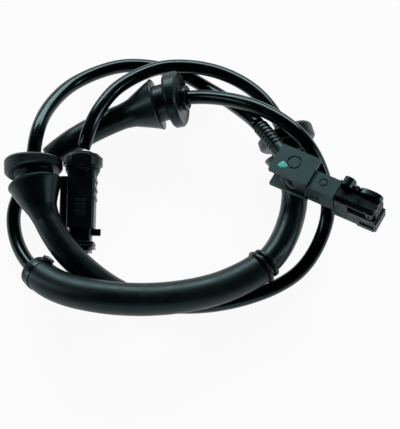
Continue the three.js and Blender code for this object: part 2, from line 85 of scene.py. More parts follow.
# Grommets, each with its place along the route and its length. The front and rear tails reach further than
# the solids, because the photograph shows no end of them there
COLLAR_RADIUS = 10.5
COLLAR_THICKNESS = 5.2
COLLAR_EDGE = 0.9
COLLAR_LINES = (1.5, 2.5, 3.5)
LINE_DEPTH = 0.22
LINE_SLOPE = 0.12
LINE_FLOOR = 0.18
FACE_RECESS = 0.35
RECESS_FROM_BORE = 1.1
RECESS_FROM_RIM = 1.8
RECESS_SLOPE = 0.4
GROOVE_RADIUS = 6.9
GROOVE_WIDTH = 4.2
LIP_RADIUS = 9.8
LIP_THICKNESS = 0.8
LIP_EDGE = 0.3
CONE_LENGTH = 11.0
CONE_INSET = 0.35
CONE_END_BLEND = 1.5
NECK_RADIUS = 5.1
NECK_BLEND = 2.5
TAIL_RADIUS = 4.75
TAIL_TAPER = 11.0
TAIL_EDGE = 0.3
REAR_TAIL_END = 4.1
BORE_RADIUS = CABLE_RADIUS + CABLE_FIT
FRONT_GROMMET = (147.6, 62)
REAR_GROMMET = (382.2, 55)
SIDE_GROMMET = (635.8, 57)
BEAD_DISC = (6.5, 1.0)
BEAD_GAP = 1.2
BEAD = (5.8, 1.7)
BEAD_EDGE = 0.3
FLASH_HEIGHT = 0.07
FLASH_SINE = 0.05
BOOT_SIDES = 72
BOOT_STEP = 1.2

# Collar ring, sleeve and tie. The sleeve is larger than the solid and the tie is lower, as they are seen
RING_THICKNESS = 2.0
RING_WALL = 1.0
SLEEVE_START = 490.4
SLEEVE_TO_GROMMET = 0.6
SLEEVE_LENGTH = SIDE_GROMMET[0] - SIDE_GROMMET[1] - SLEEVE_TO_GROMMET - SLEEVE_START
SLEEVE_RADIUS = 5.75
SLEEVE_BORE = 3.7
TIE_FROM_END = 2.0
TIE_WIDTH = 1.8
TIE_THICKNESS = 0.2
TIE_GAP = 0.05
TIE_HEAD = (3.6, 3.2, 1.1)
TIE_HEAD_SINK = 0.1
TIE_HEAD_CORNER = 0.6
TIE_SLOT_WALL = 0.7
TIE_SLOT_DEPTH = 0.6
TIE_TONGUE_BACK = 1.1
TIE_TONGUE_OUT = 0.5
TIE_TURN = 66.0

# Sensor head: its place and attitude, and sizes in its own space: x towards the nose, y across, z up
HEAD_PLACE = (32.6, 7.9, 31.8)
HEAD_TURN = (-4.1, -10.9, -29.2)
HEAD_HEIGHT = 10.0
HEAD_BOTTOM = -HEAD_HEIGHT
HEAD_FRONT = -6.35
HEAD_RIDGE = 0.4
HEAD_RING = (2.1, 0.5)
HEAD_RING_PLACE = (0.2, -0.1)
HEAD_RING_DEPTH = 0.5
PLATE_ENDS = (-6.85, 8.25)
PLATE_BACK = 5.0
PLATE_THICKNESS = 1.5
PLATE_CORNER = 0.3
LOWER_PLATE_FRONT = 0.7
CORE_RADIUS = 4.4
CORE_CENTRE = (1.6, 0.6)
SLOT_INNER = 5.6
SLOT_WIDTH = 1.7
NECK_START = 7.0
NECK_LENGTH = 11.2
NECK_END = NECK_START + NECK_LENGTH
NECK_WIDTH = 7.3
NECK_BACK = HEAD_FRONT + NECK_WIDTH
NECK_DROP = 1.2
NECK_FLANGE = 0.6
NECK_FLANGE_DROP = 3.8
NECK_RING = (1.15, 0.4)
NECK_RING_DEPTH = 0.45
NECK_PADS = (2.4, 4.4)
TANG = (3.0, 3.8, 8.0)
TANG_FRONT = HEAD_FRONT + 1.75
TANG_TOP = -NECK_DROP - 3

# Nose, pin and clip, in the head's space
NOSE_START = NECK_END + SEAT_GAP
NOSE_LENGTH = 16.0
NOSE_TIP = NOSE_START + NOSE_LENGTH
NOSE_DROP = 2.6
NOSE_TOP = -NOSE_DROP
NOSE_HEIGHT = 11.2
NOSE_FOOT = NOSE_TOP - NOSE_HEIGHT
NOSE_STEP = 0.8
CHANNEL_START = 5.0
CHANNEL_HEIGHT = 4.2
CHANNEL_DEPTH = 1.6
WINDOW_FROM_TIP = 6.4
WINDOW_LENGTH = 5.4
WINDOW_DEPTH = 0.5
PIN_RADIUS = 1.4
PIN_LENGTH = 3.2
PIN_DIMPLE = 0.55
PIN_PLACE = (NOSE_TIP - 3, NOSE_TOP - CHANNEL_HEIGHT / 2)
PIN_BACK = HEAD_FRONT + CHANNEL_DEPTH + 1.8
CLIP_BASE = NOSE_TOP + SEAT_GAP
CLIP_LENGTH = 15.2
CLIP_BAR = (2.8, 1.7)
CLIP_RAIL = 1.9
CLIP_HOOK_BACK = 1.2
PEG_PLACE = (NOSE_START + 10, NECK_BACK - CLIP_RAIL / 2 - 1)
PEG_RADIUS = 1.0

# Paint dab on the head's upper plate
DAB_PLACE = (-2.95, -2.75)
DAB_RADIUS = 1.5
DAB_THICKNESS = 0.09
DAB_FOOT = 0.02
DAB_SIDES = 48
DAB_RINGS = 6

# Connector: its place and attitude, and sizes in its own space: x towards the mating face, y across, z up
CONNECTOR_PLACE = (-42.6, 18.6, 12.8)
CONNECTOR_TURN = (0, 11.5, -91)
CONNECTOR_LENGTH = 35.8
CAP_RADIUS = 7.2
CAP_THICKNESS = 5.6
CAP_FLAT = 6.3
SEAL_RADIUS = 3.9
SEAL_LIPS = 3
SEAL_LIP_PITCH = 1.6
SEAL_LIP_HEIGHT = 0.5
SHOULDER_START = CAP_THICKNESS + SEAT_GAP
SHOULDER_END = SHOULDER_START + 2.4
BODY = (10.0, 10.6)
BODY_CORNER = 1.6
BODY_END = 27.6
BODY_FLANK = 3.0
BODY_FLANK_TOP = 1.5
BODY_RIBS = 3
BODY_RIB_PITCH = 3.2
SPOUT = (8.0, 8.2)
LOCK_ENDS = (17, 23)
LOCK_HALF_WIDTH = 2.2
LOCK_DEPTH = 1.8
LOCK_LINES = (18.6, 21)
TERMINAL_FROM_FACE = 1.2
TERMINAL_LENGTH = 9
TERMINAL_ASIDE = 1.6
TERMINAL_HALF_SIZES = (0.4, 1.1)
FRONT_SEAL_FROM_FACE = 3.4
FRONT_SEAL_LENGTH = 2.0
FRONT_SEAL_LIP = 0.75

# Black materials: scale, strength and depth of their low lumps, and scale and threshold of their rubbed spots
LOW_LUMPS = (110, 0.25, 0.12)
DEEP_LUMPS = (380, 0.9, 0.4)
FEW_RUBS = (420, 0.6)
MANY_RUBS = (873.8, 0.47)
DUST = (0.11, 0.13, 0.13)
SHEEN = 0.4
SHEEN_TINT = (0.6, 0.95, 1.0, 1)

# Floor and world, and then the lamps, each with its place and size in metres and its power in watts
FLOOR_COLOUR = (0.85, 0.86, 0.86, 1)
FLOOR_HALF = 1500
FLOOR_GLOW_SHARE = 0.94
SKY_COLOUR = (0.86, 0.98, 1, 1)
SKY_HEIGHTS = (0.05, 0.5)
SKY_STRENGTHS = (0.1, 0.004)
LAMP_COLOUR = (0.93, 1, 1)
LAMPS = {
    "back": ((0, 0.95, 0.5), (1.4, 0.4), 15),
    "left": ((-0.95, 0, 0.3), (0.14, 0.9), 2.2),
    "right": ((0.95, 0, 0.2), (0.1, 0.9), 2),
    "front": ((0, -0.95, 0.3), (1.2, 0.2), 1.5),
}

# Camera: it looks along +Y and down
CAMERA_DISTANCE = 440.0
CAMERA_DOWN = 70.0
LENS_PIXELS = 1190.0
PICTURE = (400, 429)
SENSOR = 36.0


# Route

def catmull_rom(points):
    """Points along the smooth curve through the given ones, timed by the square roots of their gaps."""
    points = [np.array(p, dtype=float) for p in points]
    points = [2 * points[0] - points[1]] + points + [2 * points[-1] - points[-2]]
    dense = []
    for a, b, c, d in zip(points, points[1:], points[2:], points[3:]):
        ab, bc, cd = (math.sqrt(np.linalg.norm(q - p)) for p, q in ((a, b), (b, c), (c, d)))
        leave = ((b - a) / ab - (c - a) / (ab + bc) + (c - b) / bc) * bc
        arrive = ((c - b) / bc - (d - b) / (bc + cd) + (d - c) / cd) * bc
        for t in np.arange(STEPS_PER_SPAN) / STEPS_PER_SPAN:
            cubic = 2 * b - 2 * c + leave + arrive
            square = -3 * b + 3 * c - 2 * leave - arrive
            dense.append(b + leave * t + square * t * t + cubic * t ** 3)
    dense.append(points[-2])
    return np.array(dense) - FOOTPRINT_MIDDLE


ROUTE_POINTS = catmull_rom(ROUTE)
ROUTE_DISTANCES = np.concatenate(([0], np.cumsum(np.linalg.norm(np.diff(ROUTE_POINTS, axis=0), axis=1))))
ROUTE_LENGTH = ROUTE_DISTANCES[-1]


def route_point(distance):
    return np.array([np.interp(distance, ROUTE_DISTANCES, ROUTE_POINTS[:, k]) for k in range(3)])


def route_frame(distance, ahead=1):
    """Centre, direction, side and rise of the route at a distance, looking ahead (1) or back (-1)."""
    distance = min(max(distance, 0), ROUTE_LENGTH)
    reach = 0.5
    along = route_point(min(distance + reach, ROUTE_LENGTH)) - route_point(max(distance - reach, 0))
    along = ahead * along / np.linalg.norm(along)
    side = np.cross(along, (0, 0, 1))
    side /= np.linalg.norm(side)
    return route_point(distance), along, side, np.cross(side, along)


# Profiles of distance and radius

def softened(corners, amount, steps=4):
    """The profile with each corner turned into a small curve."""
    soft = [corners[0]]
    for before, corner, after in zip(corners, corners[1:], corners[2:]):
        before, corner, after = (np.array(p, dtype=float) for p in (before, corner, after))
        back, on = before - corner, after - corner
        long_back, long_on = np.linalg.norm(back), np.linalg.norm(on)
        if long_back < 1e-6 or long_on < 1e-6:
            continue
        reach = min(amount, 0.45 * long_back, 0.45 * long_on)
        start, end = corner + back / long_back * reach, corner + on / long_on * reach
        for t in np.arange(steps + 1) / steps:
            soft.append(tuple((1 - t) ** 2 * start + 2 * t * (1 - t) * corner + t * t * end))
    soft.append(corners[-1])
    return soft


def stepped(corners, longest):
    """The profile with points added along its long runs, so that it can follow a curve."""
    fine = [corners[0]]
    for (s0, r0), (s1, r1) in zip(corners, corners[1:]):
        parts = max(1, math.ceil(abs(s1 - s0) / longest))
        fine += [(s0 + (s1 - s0) * k / parts, r0 + (r1 - r0) * k / parts) for k in range(1, parts + 1)]
    return fine


def tube_profile(length, outer, bore, edge):
    return [(0, bore), (0, outer - edge), (edge, outer), (length - edge, outer),
            (length, outer - edge), (length, bore), (0, bore)]


# Meshes

def mesh_object(name, points, faces):
    """Object of the given points in millimetres."""
    mesh = bpy.data.meshes.new(name)
    mesh.from_pydata([tuple(float(v) * MM for v in p) for p in points], [], faces)
    mesh.validate()
    mesh.update()
    mesh.shade_smooth()
    obj = bpy.data.objects.new(name, mesh)
    bpy.context.scene.collection.objects.link(obj)
    return obj


def angles_round(sides):
    return np.arange(sides) / sides * 2 * math.pi


def revolved(name, profile, points, sides):
    """Body of rings of points, one for each point of the profile. No faces join two rings of no radius."""
    radii = [r for _, r in profile]
    faces = []
    for i, (here, there) in enumerate(zip(radii, radii[1:])):
        if here == 0 and there == 0:
            continue
        for j in range(sides):
            k = (j + 1) % sides
            faces.append((i * sides + j, i * sides + k, (i + 1) * sides + k, (i + 1) * sides + j))
    return cleaned(mesh_object(name, points, faces))


def swept(name, profile, start, ahead=1, sides=64, swell=None):
    """Body of revolution bent along the route. swell gives what is added to a radius at an angle."""
    points = []
    for s, r in profile:
        centre, _, side, rise = route_frame(start + ahead * s, ahead)
        for angle in angles_round(sides):
            radius = r + (swell(angle, r) if swell and r > 0 else 0)
            points.append(centre + radius * (math.cos(angle) * side + math.sin(angle) * rise))
    return revolved(name, profile, points, sides)


def lathed(name, profile, sides=72):
    """Body of revolution about the x axis of a piece's own space."""
    points = [(s, r * math.cos(angle), r * math.sin(angle))
              for s, r in profile for angle in angles_round(sides)]
    return revolved(name, profile, points, sides)


def cleaned(obj):
    """Merges coinciding points, drops empty faces and turns every face outwards."""
    bm = bmesh.new()
    bm.from_mesh(obj.data)
    bmesh.ops.remove_doubles(bm, verts=bm.verts, dist=1e-7)
    bmesh.ops.dissolve_degenerate(bm, edges=bm.edges, dist=1e-7)
    bmesh.ops.recalc_face_normals(bm, faces=bm.faces)
    bm.to_mesh(obj.data)
    bm.free()
    return obj


def prism(outline, low, high, axis="z"):
    """Solid with the given outline, from low to high along an axis."""
    place = {
        "x": lambda a, b, c: (c, a, b),
        "y": lambda a, b, c: (a, c, b),
        "z": lambda a, b, c: (a, b, c),
    }[axis]
    n = len(outline)
    points = [place(a, b, c) for c in (low, high) for a, b in outline]
    faces = [tuple(range(n)), tuple(range(n, 2 * n))]
    faces += [(i, (i + 1) % n, n + (i + 1) % n, n + i) for i in range(n)]
    return cleaned(mesh_object("prism", points, faces))


def block(x0, x1, y0, y1, z0, z1):
    return prism([(x0, y0), (x1, y0), (x1, y1), (x0, y1)], z0, z1)


def circle(radius, x=0, y=0, sides=64):
    return [(x + radius * math.cos(2 * math.pi * i / sides), y + radius * math.sin(2 * math.pi * i / sides))
            for i in range(sides)]


def rounded_box(x0, x1, y0, y1, corner, steps=6):
    centres = [(x1 - corner, y1 - corner, 0), (x0 + corner, y1 - corner, 90),
               (x0 + corner, y0 + corner, 180), (x1 - corner, y0 + corner, 270)]
    return [(x + corner * math.cos(math.radians(start + 90 * i / steps)),
             y + corner * math.sin(math.radians(start + 90 * i / steps)))
            for x, y, start in centres for i in range(steps + 1)]


def post(radius, z0, z1, x, y, sides=64):
    return prism(circle(radius, x, y, sides), z0, z1)


def bar(x0, x1, width, height, corner):
    return prism(rounded_box(-width / 2, width / 2, -height / 2, height / 2, corner), x0, x1, "x")


def cut_or_join(obj, other, operation):
    """Takes another solid from an object, adds it or keeps what both share, and removes the other."""
    change = obj.modifiers.new("change", "BOOLEAN")
    change.operation = operation
    change.solver = "EXACT"
    change.object = other
    changed = obj.evaluated_get(bpy.context.evaluated_depsgraph_get())
    result = bpy.data.meshes.new_from_object(changed)
    obj.modifiers.clear()
    old = obj.data
    obj.data = result
    bpy.data.meshes.remove(old)
    bpy.data.objects.remove(other)


def solid(name, adds, cuts=(), edge=0.15):
    """One moulded body: the added solids joined, the cuts taken out and its edges rounded."""
    obj = adds[0]
    for other in adds[1:]:
        cut_or_join(obj, other, "UNION")
    for other in cuts:
        cut_or_join(obj, other, "DIFFERENCE")
    bm = bmesh.new()
    bm.from_mesh(obj.data)
    bmesh.ops.remove_doubles(bm, verts=bm.verts, dist=2e-6)
    bmesh.ops.dissolve_limit(bm, angle_limit=math.radians(1.5), verts=bm.verts, edges=bm.edges)
    bmesh.ops.recalc_face_normals(bm, faces=bm.faces)
    bm.to_mesh(obj.data)
    bm.free()
    obj.name = obj.data.name = name
    obj.data.shade_smooth()
    if edge:
        bevel = obj.modifiers.new("edges", "BEVEL")
        bevel.width = edge * MM
        bevel.segments = 3
        bevel.limit_method = "ANGLE"
        bevel.angle_limit = math.radians(32)
        bevel.miter_outer = "MITER_ARC"
    even = obj.modifiers.new("even", "WEIGHTED_NORMAL")
    even.keep_sharp = True
    return obj


def own_space(place, turn):
    """Matrix from a moulding's own space to where it lies."""
    matrix = Matrix.Translation((Vector(place) - Vector(FOOTPRINT_MIDDLE)) * MM)
    return matrix @ Euler([math.radians(v) for v in turn], "XYZ").to_matrix().to_4x4()


HEAD_SPACE = own_space(HEAD_PLACE, HEAD_TURN)
CONNECTOR_SPACE = own_space(CONNECTOR_PLACE, CONNECTOR_TURN)


def dressed(obj, slot, *nodes, space=None):
    """Moves a piece out of its own space, gives it the material of its slot, puts it on the root body and
    hides the frame solids that it stands for.
    """
    if space:
        obj.data.transform(space)
    obj.data.materials.clear()
    obj.data.materials.append(MATERIALS[slot])
    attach(obj, "root")
    if nodes:
        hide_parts(*nodes)
    return obj


# Materials

def shader_of(name):
    material = bpy.data.materials.new(name)
    material.use_nodes = True
    tree = material.node_tree
    return material, tree, tree.nodes["Principled BSDF"]


def noise(tree, vector, scale, detail=4.0, roughness=0.55):
    node = tree.nodes.new("ShaderNodeTexNoise")
    node.inputs["Scale"].default_value = scale
    node.inputs["Detail"].default_value = detail
    node.inputs["Roughness"].default_value = roughness
    tree.links.new(vector, node.inputs["Vector"])
    return node.outputs["Fac"]


def spread(tree, value, from_low, from_high, to_low, to_high):
    node = tree.nodes.new("ShaderNodeMapRange")
    ends = {"From Min": from_low, "From Max": from_high, "To Min": to_low, "To Max": to_high}
    for socket, number in ends.items():
        node.inputs[socket].default_value = number
    tree.links.new(value, node.inputs["Value"])
    return node.outputs["Result"]


def blended(tree, factor, low, high):
    """Colour between two others, each given as a colour or as a socket."""
    node = tree.nodes.new("ShaderNodeMix")
    node.data_type = "RGBA"
    tree.links.new(factor, node.inputs["Factor"])
    for socket, value in ((node.inputs[6], low), (node.inputs[7], high)):
        if isinstance(value, tuple):
            socket.default_value = (*value, 1)
        else:
            tree.links.new(value, socket)
    return node.outputs[2]


def worked_out(tree, operation, a, b):
    node = tree.nodes.new("ShaderNodeMath")
    node.operation = operation
    for socket, value in ((node.inputs[0], a), (node.inputs[1], b)):
        if isinstance(value, (int, float)):
            socket.default_value = value
        else:
            tree.links.new(value, socket)
    return node.outputs[0]


def bumped(tree, height, strength, distance, normal=None):
    node = tree.nodes.new("ShaderNodeBump")
    node.inputs["Strength"].default_value = strength
    node.inputs["Distance"].default_value = distance * MM
    tree.links.new(height, node.inputs["Height"])
    if normal is not None:
        tree.links.new(normal, node.inputs["Normal"])
    return node.outputs["Normal"]


def dark_material(name, colour, worn, roughness, grain, dust, lumps=LOW_LUMPS, rubs=FEW_RUBS):
    """Black rubber or plastic: mottled colour, fine grain, dust specks, rubbed spots and uneven gloss."""
    material, tree, shader = shader_of(name)
    place = tree.nodes.new("ShaderNodeTexCoord").outputs["Object"]
    mottle = spread(tree, noise(tree, place, 160, 5), 0.35, 0.68, 0, 1)
    body = blended(tree, mottle, colour, tuple(v * 1.45 for v in colour))
    rub_scale, rubbed = rubs
    rub = spread(tree, noise(tree, place, rub_scale, 6, 0.62), rubbed, rubbed + 0.16, 0, 0.7)
    body = blended(tree, rub, body, worn)
    speck = spread(tree, noise(tree, place, 2600, 2, 0.5), 0.75 - 0.03 * dust, 0.82, 0, 0.4 * min(1.0, dust))
    body = blended(tree, speck, body, DUST)
    tree.links.new(body, shader.inputs["Base Color"])
    uneven = spread(tree, noise(tree, place, 240, 5, 0.6), 0.3, 0.7, roughness - 0.06, roughness + 0.08)
    tree.links.new(uneven, shader.inputs["Roughness"])
    grain_strength, grain_size = grain
    normal = bumped(tree, noise(tree, place, 1 / (grain_size * MM), 3, 0.6), grain_strength, 0.05)
    lump_scale, strength, depth = lumps
    normal = bumped(tree, noise(tree, place, lump_scale, 3, 0.5), strength, depth, normal)
    tree.links.new(normal, shader.inputs["Normal"])
    shader.inputs["Specular IOR Level"].default_value = SHEEN
    shader.inputs["Specular Tint"].default_value = SHEEN_TINT
    return material


def metal_material(name):
    material, tree, shader = shader_of(name)
    place = tree.nodes.new("ShaderNodeTexCoord").outputs["Object"]
    tone = spread(tree, noise(tree, place, 900, 4), 0.35, 0.65, 0, 1)
    tree.links.new(blended(tree, tone, (0.52, 0.47, 0.34), (0.62, 0.6, 0.5)), shader.inputs["Base Color"])
    uneven = spread(tree, noise(tree, place, 1500, 3), 0.3, 0.7, 0.25, 0.42)
    tree.links.new(uneven, shader.inputs["Roughness"])
    shader.inputs["Metallic"].default_value = 1
    tree.links.new(bumped(tree, noise(tree, place, 4000, 2), 0.1, 0.02), shader.inputs["Normal"])
    return material


def paint_material(name):
    material, tree, shader = shader_of(name)
    place = tree.nodes.new("ShaderNodeTexCoord").outputs["Object"]
    tone = spread(tree, noise(tree, place, 900, 5), 0.3, 0.7, 0, 1)
    tree.links.new(blended(tree, tone, (0.028, 0.33, 0.29), (0.08, 0.54, 0.49)), shader.inputs["Base Color"])
    uneven = spread(tree, noise(tree, place, 1300, 3), 0.3, 0.7, 0.35, 0.6)
    tree.links.new(uneven, shader.inputs["Roughness"])
    tree.links.new(bumped(tree, noise(tree, place, 1800, 3), 0.4, 0.05), shader.inputs["Normal"])
    return material


# Black materials by slot: colour, rubbed colour, roughness, grain's strength and size, dust, lumps and rubs
BLACKS = {
    "cable_jacket": ((0.0003, 0.0006, 0.0007), (0.0015, 0.003, 0.0032), 0.18, (0.04, 0.35), 0.2),
    "moulded_rubber": ((0.0006, 0.0017, 0.0019), (0.004, 0.0085, 0.009), 0.34, (0.2, 0.3), 0.7),
    "sleeve_rubber": ((0.0004, 0.0011, 0.0012), (0.002, 0.0045, 0.005), 0.42, (0.08, 0.3), 0.5),
    "head_plastic": ((0.010, 0.023, 0.0245), (0.024, 0.043, 0.045), 0.5, (0.45, 0.26), 0.6),
    "nose_plastic": (
        (0.003, 0.007, 0.0075), (0.075, 0.11, 0.115), 0.45, (0.7, 0.5), 1.6, DEEP_LUMPS, MANY_RUBS,
    ),
    "gloss_plastic": ((0.0004, 0.0008, 0.0009), (0.002, 0.004, 0.0044), 0.26, (0.08, 0.5), 0.2),
    "connector_plastic": ((0.0007, 0.0012, 0.0014), (0.004, 0.007, 0.0075), 0.34, (0.18, 0.28), 0.4),
    "lock_plastic": ((0.0016, 0.0032, 0.0036), (0.005, 0.009, 0.0095), 0.42, (0.2, 0.3), 0.3),
}
MATERIALS = {slot: dark_material(slot, *look) for slot, look in BLACKS.items()}
MATERIALS["terminal_metal"] = metal_material("terminal_metal")
PAINT = paint_material("paint_dab")


# Cable and what is threaded on it

def cable():
    start = RELIEF_LENGTH + SEAT_GAP
    end = ROUTE_LENGTH - start
    count = round(end / CABLE_STEP)
    stations = [(i * end / count, CABLE_RADIUS) for i in range(count + 1)]
    rim = CABLE_RADIUS - CABLE_END_EDGE
    profile = [(0, 0), (0, rim), *stations[1:-1], (end, rim), (end, 0)]
    obj = swept("cable_jacket_tube", profile, start, 1, CABLE_SIDES)
    path = [tuple(route_point(start + s) * MM) for s, _ in stations]
    return dressed(obj, "cable_jacket", "cable"), path, end * MM


def strain_relief():
    radius, low = RELIEF_RADIUS, RELIEF_RADIUS - RELIEF_GROOVE
    foot, slope = RELIEF_GROOVE_WIDTH, RELIEF_GROOVE_SLOPE
    corners = [(0, 0), (0, low), (RELIEF_GROOVE, radius)]
    for i in range(RELIEF_RIBS):
        rib = RELIEF_LENGTH - (RELIEF_RIBS - i - 0.5) * RELIEF_RIB_PITCH
        corners += [(rib - foot - slope, radius), (rib - foot, low), (rib, low), (rib + slope, radius)]
    corners += [(RELIEF_LENGTH, radius), (RELIEF_LENGTH, 0)]
    obj = swept("strain_relief_ribbed", stepped(softened(corners, 0.12), RELIEF_STEP), 0, 1, 48)
    return dressed(obj, "moulded_rubber", "strain_relief")


def collar_profile(lines):
    """Round collar with fine lines run round its rim."""
    radius, low, rim = COLLAR_RADIUS, COLLAR_RADIUS - LINE_DEPTH, COLLAR_RADIUS - COLLAR_EDGE
    profile = [(0, rim), (COLLAR_EDGE, radius)]
    for s in lines:
        floor_end = s + LINE_SLOPE + LINE_FLOOR
        profile += [(s, radius), (s + LINE_SLOPE, low), (floor_end, low), (floor_end + LINE_SLOPE, radius)]
    return profile + [(COLLAR_THICKNESS - COLLAR_EDGE, radius), (COLLAR_THICKNESS, rim)]


def face_profile():
    """Collar's face with a shallow recess round the bore."""
    inner, outer = BORE_RADIUS + RECESS_FROM_BORE, COLLAR_RADIUS - RECESS_FROM_RIM
    return [(0, BORE_RADIUS), (0, inner), (FACE_RECESS, inner + RECESS_SLOPE),
            (FACE_RECESS, outer - RECESS_SLOPE), (0, outer)]


def bead_profile(length):
    """End of a tail with a round bead and a disc."""
    disc_radius, disc_thickness = BEAD_DISC
    bead_radius, bead_width = BEAD
    disc = length - disc_thickness
    end = disc - BEAD_GAP
    bead = end - bead_width
    return [(bead, TAIL_RADIUS), (bead + BEAD_EDGE, bead_radius), (end - BEAD_EDGE, bead_radius),
            (end, TAIL_RADIUS), (disc, TAIL_RADIUS), (disc, disc_radius), (length, disc_radius)]


def grommet_profile(length, lines, beaded, tail_end):
    groove = COLLAR_THICKNESS + GROOVE_WIDTH
    lip = groove + LIP_THICKNESS
    neck = lip + CONE_LENGTH
    profile = [
        *face_profile(), *collar_profile(lines), (COLLAR_THICKNESS, GROOVE_RADIUS), (groove, GROOVE_RADIUS),
        (groove, LIP_RADIUS - LIP_EDGE), (groove + LIP_EDGE, LIP_RADIUS), (lip, LIP_RADIUS),
        (lip + LIP_EDGE, LIP_RADIUS - CONE_INSET), (neck - CONE_END_BLEND, NECK_RADIUS + CONE_INSET),
        (neck, NECK_RADIUS), (neck + NECK_BLEND, TAIL_RADIUS),
    ]
    if beaded:
        profile += bead_profile(length)
    else:
        profile += [(length - TAIL_TAPER, TAIL_RADIUS), (length - TAIL_EDGE, tail_end),
                    (length, tail_end - TAIL_EDGE)]
    return profile + [(length, BORE_RADIUS), (0, BORE_RADIUS)]


def parting_line(angle, radius):
    """Height of the thin line of flash that the two halves of a mould leave on the outside."""
    on_line = abs(math.sin(angle)) < FLASH_SINE and radius > BORE_RADIUS
    return FLASH_HEIGHT if on_line else 0


def grommet(node, seat, ahead, lines=(), beaded=False, tail_end=TAIL_RADIUS):
    face, length = seat
    profile = stepped(softened(grommet_profile(length, lines, beaded, tail_end), 0.28), BOOT_STEP)
    obj = swept(node + "_boot", profile, face, ahead, BOOT_SIDES, parting_line)
    return dressed(obj, "moulded_rubber", node)


def cable_collar():
    profile = softened(tube_profile(RING_THICKNESS, BORE_RADIUS + RING_WALL, BORE_RADIUS, 0.25), 0.15)
    obj = swept("cable_collar_ring", profile, REAR_GROMMET[0] - SEAT_GAP - RING_THICKNESS, 1, 48)
    return dressed(obj, "gloss_plastic", "cable_collar")


def protective_sleeve():
    profile = softened(tube_profile(SLEEVE_LENGTH, SLEEVE_RADIUS, SLEEVE_BORE, 0.25), 0.2)
    obj = swept("protective_sleeve_tube", stepped(profile, BOOT_STEP), SLEEVE_START, 1, BOOT_SIDES)
    return dressed(obj, "sleeve_rubber", "protective_sleeve")


def tie_space():
    """Matrix to the place of the tie's head, with x across the cable, y along it and z outwards."""
    centre, along, side, rise = route_frame(SLEEVE_START + TIE_FROM_END + TIE_WIDTH / 2)
    turn = math.radians(TIE_TURN)
    out = math.cos(turn) * rise - math.sin(turn) * side
    across = math.cos(turn) * side + math.sin(turn) * rise
    matrix = Matrix([(*row, 0) for row in np.column_stack((across, along, out))] + [(0, 0, 0, 1)])
    return Matrix.Translation(Vector(centre) * MM) @ matrix


def sleeve_tie():
    """Strap round the sleeve with a small slotted head and the strap's cut end in its slot."""
    inner = SLEEVE_RADIUS + TIE_GAP
    profile = softened(tube_profile(TIE_WIDTH, inner + TIE_THICKNESS, inner, 0.1), 0.08)
    strap = swept("tie_strap", profile, SLEEVE_START + TIE_FROM_END, 1, 64)
    along, across, tall = TIE_HEAD
    x, y = across / 2, along / 2
    base = inner + TIE_THICKNESS / 2 - TIE_HEAD_SINK
    top = base + tall
    slot_x, slot_y = x - TIE_SLOT_WALL, TIE_WIDTH / 2 + 0.1
    slot = block(-slot_x, slot_x, -slot_y, slot_y, top - TIE_SLOT_DEPTH, top + 1)
    head = solid("tie_head", [prism(rounded_box(-x, x, -y, y, TIE_HEAD_CORNER), base, top)], [slot], 0.2)
    tongue_y = TIE_WIDTH / 2 - 0.1
    bent = block(-TIE_TONGUE_BACK, x + TIE_TONGUE_OUT, -tongue_y, tongue_y, top - 0.5, top - 0.05)
    tongue = solid("tie_tongue", [bent], (), 0.12)
    space = tie_space()
    dressed(head, "gloss_plastic", space=space)
    dressed(tongue, "gloss_plastic", space=space)
    return dressed(strap, "gloss_plastic", "sleeve_tie")


# Sensor head, in its own space

def ring_cut(ring, x, y, z0, z1):
    """Round groove to cut: ring gives its inner radius and its width."""
    radius, width = ring
    groove = post(radius + width, z0, z1, x, y)
    cut_or_join(groove, post(radius, z0 - 1, z1 + 1, x, y), "DIFFERENCE")
    return groove


def lower_slot():
    """Curved slot through the lower plate, round the front of the core on the side away from the nose."""
    x, y = CORE_CENTRE
    slot = ring_cut((SLOT_INNER, SLOT_WIDTH), x, y, HEAD_BOTTOM - 1, PLATE_THICKNESS + HEAD_BOTTOM + 1)
    cut_or_join(slot, block(x - 14, x + 1.5, y - 12, y, HEAD_BOTTOM - 2, 0), "INTERSECT")
    return slot


def relief_room():
    """Room for the strain relief, moved into the head's own space."""
    radius = RELIEF_RADIUS + SEAT_GAP
    profile = [(-SEAT_GAP, 0), (-SEAT_GAP, radius), (RELIEF_LENGTH, radius), (RELIEF_LENGTH, 0)]
    room = swept("room", stepped(profile, RELIEF_STEP), 0, 1, 48)
    room.data.transform(HEAD_SPACE.inverted())
    return room


def head_plates():
    """Upper and lower plate with the round core between them."""
    left, right = PLATE_ENDS
    front, back = HEAD_FRONT - LOWER_PLATE_FRONT, PLATE_BACK - LOWER_PLATE_FRONT
    upper = rounded_box(left, right, HEAD_FRONT, PLATE_BACK, PLATE_CORNER)
    lower = rounded_box(left, right, front, back, PLATE_CORNER)
    return [
        prism(upper, -PLATE_THICKNESS, 0),
        prism(lower, HEAD_BOTTOM, PLATE_THICKNESS + HEAD_BOTTOM),
        post(CORE_RADIUS, HEAD_BOTTOM + 0.1, -0.1, *CORE_CENTRE, 96),
    ]


